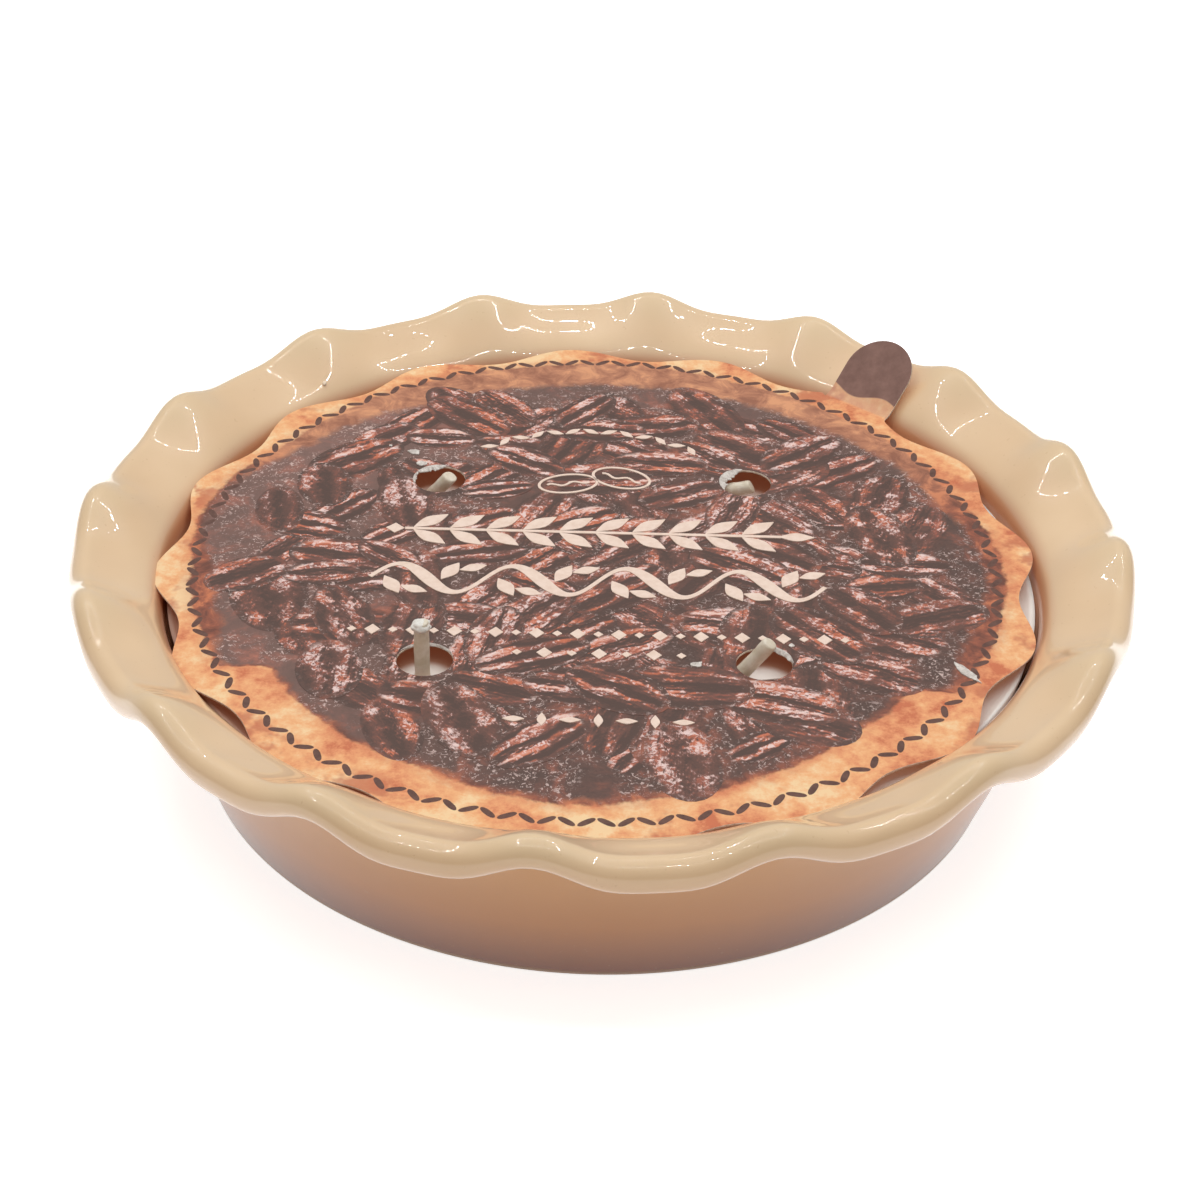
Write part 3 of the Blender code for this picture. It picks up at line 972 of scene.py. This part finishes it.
def make_ornament():
    """Sprigs, a vine and rules of diamonds, in the places a label would fill."""
    leaf, diamond = leaf_shape(), diamond_shape()
    shapes = []

    def put(master, x, y, turn_deg, long, wide):
        place = Vector((x, y, 0.0)) * MM
        height = ORNAMENT_TOP + INK * (1 + len(shapes) % 2)
        shapes.append(place_copy(master, lying(place, math.radians(turn_deg), long * MM, wide * MM, height)))

    for number in range(13):
        swing = math.radians(128 - number * 76 / 12)
        lean = 30 if number % 2 else -30
        x, y = -3.9 + 44.5 * math.cos(swing), 22.3 + 44.5 * math.sin(swing)
        put(leaf, x, y, math.degrees(swing) - 90 + lean, 2.5, 1.0)
    for number in range(10):
        x = -44.5 + number * 9.4
        put(leaf, x, 17.9, 38, 5.4, 2.2)
        put(leaf, x, 10.1, -38, 5.4, 2.2)
    put(leaf, 50.0, 14.0, 0, 4.6, 2.0)
    put(diamond, -53.5, 14.0, 0, 2.4, 2.4)
    for number in range(8):
        x = -50.9 + number * 14.25
        side = 1 if number % 2 else -1
        put(leaf, x - 1.5, -9.5 + side * 3.4, 62 * side, 4.4, 2.1)
        put(leaf, x + 4.2, -9.5 + side * 5.2, 20 * side, 3.6, 1.7)
    for number in range(25):
        put(diamond, -60.5 + number * 5.0, -33.2, 0, 1.9 if number % 2 else 1.2, 2.2 if number % 2 else 1.2)
    for number in range(7):
        put(diamond, -20.0 + number * 6.6, -41.6, 0, 1.9 if number % 2 else 1.2, 2.2 if number % 2 else 1.2)
    for number in range(7):
        put(leaf, -19.8 + number * 6.6, -69.1, 90 if number % 2 else 0, 2.6, 1.1)
    for master in (leaf, diamond):
        bpy.data.objects.remove(master, do_unlink=True)
    turns = math.tau / 28.5
    vine = wave_band("vine", -58.0, 56.0, lambda x: -9.5 + 6.3 * math.sin((x + 58.0) * turns),
                     lambda x: 1.2 + 2.6 * (0.5 - 0.5 * math.cos((x + 58.0) * turns)) ** 2)
    stem = wave_band("stem", -51.0, 46.0, lambda x: 14.0, lambda x: 1.1, 8)
    left = ring_band("left_oval", Vector((-9.5, 38.5, 0.0)), 8.2, 5.0, 0.75, math.radians(14))
    right = ring_band("right_oval", Vector((4.6, 42.0, 0.0)), 8.2, 5.4, 0.75, math.radians(-20))
    lines = []
    for x, y, turn in ((-9.5, 38.5, 14), (4.6, 42.0, -20)):
        line = wave_band("nut_line", -5.6, 5.6, lambda x: 0.7 * math.sin(x), lambda x: 0.7, 16)
        place = Matrix.Translation((x * MM, y * MM, 0.0))
        line.data.transform(place @ Matrix.Rotation(math.radians(turn), 4, "Z"))
        lines.append(line)
    ornament = join_all(shapes + [vine, stem, left, right] + lines, "cream_ornament")
    thicken(ornament, INK * 20)
    dress(seat(ornament), ink_look("cream_ink", tint(232, 209, 193), tint(224, 198, 180)), "printed_card")


# ---------------------------------------------------------------- torn paper and specks

def torn_strip(centre, start_deg, stop_deg, width, lift, seed):
    """A ragged strip of bare paper along the rim of a wick hole."""
    let_go()
    bpy.ops.mesh.primitive_grid_add(x_subdivisions=28, y_subdivisions=3, size=2.0)
    strip = named("torn_strip")
    shift = Vector((seed, seed * 2.0, 0.0))
    for vertex in strip.data.vertices:
        share, deep = (vertex.co.x + 1.0) / 2, (vertex.co.y + 1.0) / 2
        turn = math.radians(start_deg + (stop_deg - start_deg) * share)
        ends = math.sin(math.pi * share) ** 0.5
        rag = 1.0 + 0.7 * noise.noise(Vector((share * 9.0, deep, 0.0)) + shift)
        radius = HOLE_RADIUS + 0.25 * MM - width * MM * deep * ends * rag
        height = lift * math.sin(math.pi * 0.5 * (1.0 - deep)) - 0.35 * deep
        bumpy = 0.12 * noise.noise(Vector((share * 14.0, deep * 3.0, 3.0)) + shift)
        vertex.co = centre + Vector((math.cos(turn) * radius, math.sin(turn) * radius,
                                     CARD_TOP - centre.z + (0.12 + (height + bumpy) * ends) * MM))
    thicken(strip, 0.22 * MM)
    return strip


def paper_speck(x, y, half_length, half_width, turn_deg, seed):
    """A small torn scrap lying on the print."""
    speck = flat_disc("paper_speck", 14)
    shift = Vector((seed, 0.0, seed))
    for vertex in speck.data.vertices:
        vertex.co *= 1.0 + 0.55 * noise.noise(vertex.co * 1.6 + shift)
    place = Vector((x, y, 0.0)) * MM
    height = CARD_TOP + INK * 24
    speck.data.transform(lying(place, math.radians(turn_deg), half_length * MM, half_width * MM, height))
    thicken(speck, INK * 23)
    return speck


def make_scraps():
    front_left, back_left, front_right, back_right = hole_centres()
    scraps = [
        torn_strip(back_left, 78, 150, 1.7, 0.25, 1.0),
        torn_strip(back_left, 150, 200, 0.8, 0.15, 2.3),
        torn_strip(front_right, 5, 105, 0.9, 0.55, 4.1),
        torn_strip(front_right, 262, 300, 0.9, 0.3, 5.7),
        torn_strip(front_left, 20, 150, 0.45, 0.15, 7.9),
        torn_strip(back_right, 95, 215, 2.3, 0.45, 9.2),
        paper_speck(-51.4, 53.3, 1.7, 1.0, -20, 1.0),
        paper_speck(-49.1, 47.4, 1.5, 1.2, 10, 2.0),
        paper_speck(-58.0, 56.5, 0.5, 0.4, 10, 2.6),
        paper_speck(23.2, -45.0, 1.6, 1.0, 15, 3.0),
        paper_speck(46.4, -35.9, 0.8, 0.6, 40, 4.0),
        paper_speck(87.6, -45.4, 4.8, 1.0, -57, 5.0),
    ]
    bits = join_all(scraps, "torn_paper")
    dress(seat(bits), paper_look("bare_paper", tint(224, 217, 209), tint(176, 166, 158)), "printed_card")


# ---------------------------------------------------------------- wicks

WICKS = {
    "wick_front_left": (Vector((-42.5, -44.2, 42.0)), Vector((-42.5, -44.4, 58.0))),
    "wick_front_right": (Vector((32.4, -43.4, 42.6)), Vector((40.4, -46.0, 55.5))),
    "wick_back_left": (Vector((-46.3, 39.5, 42.8)), Vector((-40.7, 37.4, 50.2))),
    "wick_back_right": (Vector((29.0, 42.4, 44.2)), Vector((39.6, 41.5, 46.9))),
}


def wick_look():
    look = Look("waxed_cotton", Roughness=0.5, Coat_Weight=0.2, Coat_Roughness=0.35)
    spot = look.places()
    soak = look.noise(spot, 350.0, 4.0, 0.6)
    color = look.ramp(soak, (0.32, tint(205, 191, 166)), (0.68, tint(226, 216, 198)))
    braid = look.noise(spot, 1800.0, 3.0, 0.6)
    return look.ends(Base_Color=color, Normal=look.bump(soak * 0.7 + braid * 0.3, 0.5, 0.0006))


def make_wick(name, foot, tip, rng):
    """A waxed wick: a tube with soft dents, a cut end and a lean."""
    length = (tip - foot).length * MM
    radius = 1.9 * MM
    stations = [(radius * 1.12, 0.0), (radius * 1.03, 0.6 * MM)]
    for step in range(1, 8):
        stations.append((radius * rng.uniform(0.95, 1.05), length * step / 8))
    stations += [(radius * 0.98, length - 0.3 * MM), (radius * 0.85, length)]
    stations += [(radius * 0.4, length + 0.05 * MM)]
    walk_rings(20, stations)
    wick = named(name + "_cotton")
    slant = rng.uniform(-0.35, 0.35)
    shift = Vector([rng.uniform(0, 9) for _ in range(3)])
    for vertex in wick.data.vertices:
        share = vertex.co.z / length
        vertex.co.z += slant * vertex.co.x * smooth_step(share, 0.7, 1.0)
        vertex.co += noise.noise_vector(vertex.co / 0.0022 + shift) * 0.16 * MM
    lean = Vector((0.0, 0.0, 1.0)).rotation_difference(tip - foot).to_matrix().to_4x4()
    wick.data.transform(Matrix.Translation(foot * MM) @ lean)
    subdivided(wick, 1)
    bpy.ops.object.shade_smooth()
    dress(wick, wick_look(), "wick", name)
    return wick


def make_glaze_drops():
    """Two pale cream drops caught in the glaze."""
    drops = []
    for x, y, z, size in ((122.5, -2.0, 55.8, 1.1), (-79.0, 84.5, 51.9, 0.7)):
        let_go()
        bpy.ops.mesh.primitive_uv_sphere_add(segments=24, ring_count=12, radius=size * MM,
                                             location=(x * MM, y * MM, z * MM), rotation=(0.3, -0.4, 0.0))
        bpy.ops.transform.resize(value=(1.0, 1.25, 0.35))
        drops.append(settle(bpy.context.object))
        bpy.ops.object.shade_smooth()
    look = paper_look("pale_drop", tint(240, 222, 200), tint(226, 204, 178))
    dress(join_all(drops, "glaze_drops"), look, "glaze")


def make_wick_cap():
    """The lump of wax on the upright wick's tip."""
    let_go()
    centre = Vector((-42.6, -44.4, 56.9)) * MM
    bpy.ops.mesh.primitive_ico_sphere_add(subdivisions=4, radius=2.35 * MM, location=centre)
    cap = settle(named("wick_wax_lump"))
    for vertex in cap.data.vertices:
        out = vertex.co - centre
        lump = 1.0 + 0.22 * noise.noise(vertex.co / 0.0016) + 0.12 * noise.noise(vertex.co / 0.0007)
        vertex.co = centre + Vector((out.x * 1.05 * lump, out.y * lump, out.z * 0.62 * lump))
    bpy.ops.object.shade_smooth()
    dress(cap, paper_look("lump_wax", tint(232, 229, 222), tint(214, 209, 200)), "wax")


def make_wicks():
    rng = random.Random(3)
    for name, (foot, tip) in WICKS.items():
        make_wick(name, foot, tip, rng)
    make_wick_cap()


# ---------------------------------------------------------------- stage

FLOOR_GLOW = 0.74
AIR_LIGHT = 0.46


def make_stage():
    let_go()
    bpy.ops.mesh.primitive_plane_add(size=8.0)
    floor = named("studio_floor")
    look = Look("pale_floor", Roughness=0.9, Specular_IOR_Level=0.0)
    grain = look.noise(look.places(), 3.0, 2.0)
    path = "ShaderNodeLightPath"
    seen = look.add(path, out="Is Camera Ray").most(look.add(path, out="Is Glossy Ray"))
    pale = look.ramp(grain, (0.3, (0.93, 0.93, 0.93, 1.0)), (0.7, (0.95, 0.95, 0.95, 1.0)))
    look.shader.inputs["Emission Strength"].default_value = FLOOR_GLOW
    glow = look.mix(seen, (0.0, 0.0, 0.0, 1.0), pale)
    look.ends(Base_Color=look.mix(seen, (0.80, 0.64, 0.48, 1.0), pale), Emission_Color=glow)
    floor.data.materials.append(look.material)


def make_lamp(name, place, aim, size, power):
    let_go()
    bpy.ops.object.light_add(type="AREA", location=place)
    lamp = bpy.context.object
    lamp.name = name
    lamp.data.shape = "RECTANGLE"
    lamp.data.size, lamp.data.size_y = size
    lamp.data.energy = power
    lamp.rotation_euler = (Vector(aim) - Vector(place)).to_track_quat("-Z", "Y").to_euler()
    return lamp


def make_lights():
    """A soft top light, and a square frame of small lamps that draws dotted lines on the glaze."""
    world = bpy.data.worlds.new("studio_air")
    bpy.context.scene.world = world
    world.use_nodes = True
    tree = world.node_tree
    tree.nodes["Background"].inputs["Color"].default_value = (1.0, 1.0, 1.0, 1.0)
    tree.nodes["Background"].inputs["Strength"].default_value = AIR_LIGHT
    soft = make_lamp("soft_top", (0.0, 0.35, 1.05), (0.0, 0.0, 0.0), (1.3, 1.3), 6.0)
    soft.visible_glossy = False
    half, count, height = 0.36, 20, 0.80
    for step in range(count):
        along = half * (2 * (step + 0.5) / count - 1.0)
        for x, y in ((along, half), (-along, -half), (half, -along), (-half, along)):
            make_lamp("frame_lamp", (x, y + 0.05, height), (0.0, 0.0, 0.04), (0.013, 0.007), 0.034)


def make_camera():
    """The camera looks a little down on the dish from the front."""
    aim = Vector((-0.3, 0.0, 36.6)) * MM
    height_angle = math.radians(33.03)
    distance = 0.656
    roll = 0.0243
    place = aim + Vector((0.0, -math.cos(height_angle), math.sin(height_angle))) * distance
    let_go()
    bpy.ops.object.camera_add(location=place)
    camera = bpy.context.object
    camera.name = "shelf_view"
    turn = (aim - place).to_track_quat("-Z", "Y").to_matrix() @ Matrix.Rotation(roll, 3, "Z")
    camera.rotation_euler = turn.to_euler()
    camera.data.lens = 76.9
    camera.data.sensor_width = 36.0
    bpy.context.scene.camera = camera


def main():
    make_camera()
    make_dish()
    make_wax()
    make_card()
    make_nuts()
    make_stitches()
    make_ornament()
    make_scraps()
    make_glaze_drops()
    make_wicks()
    make_stage()
    make_lights()
    bpy.context.scene.view_settings.view_transform = "Standard"


main()
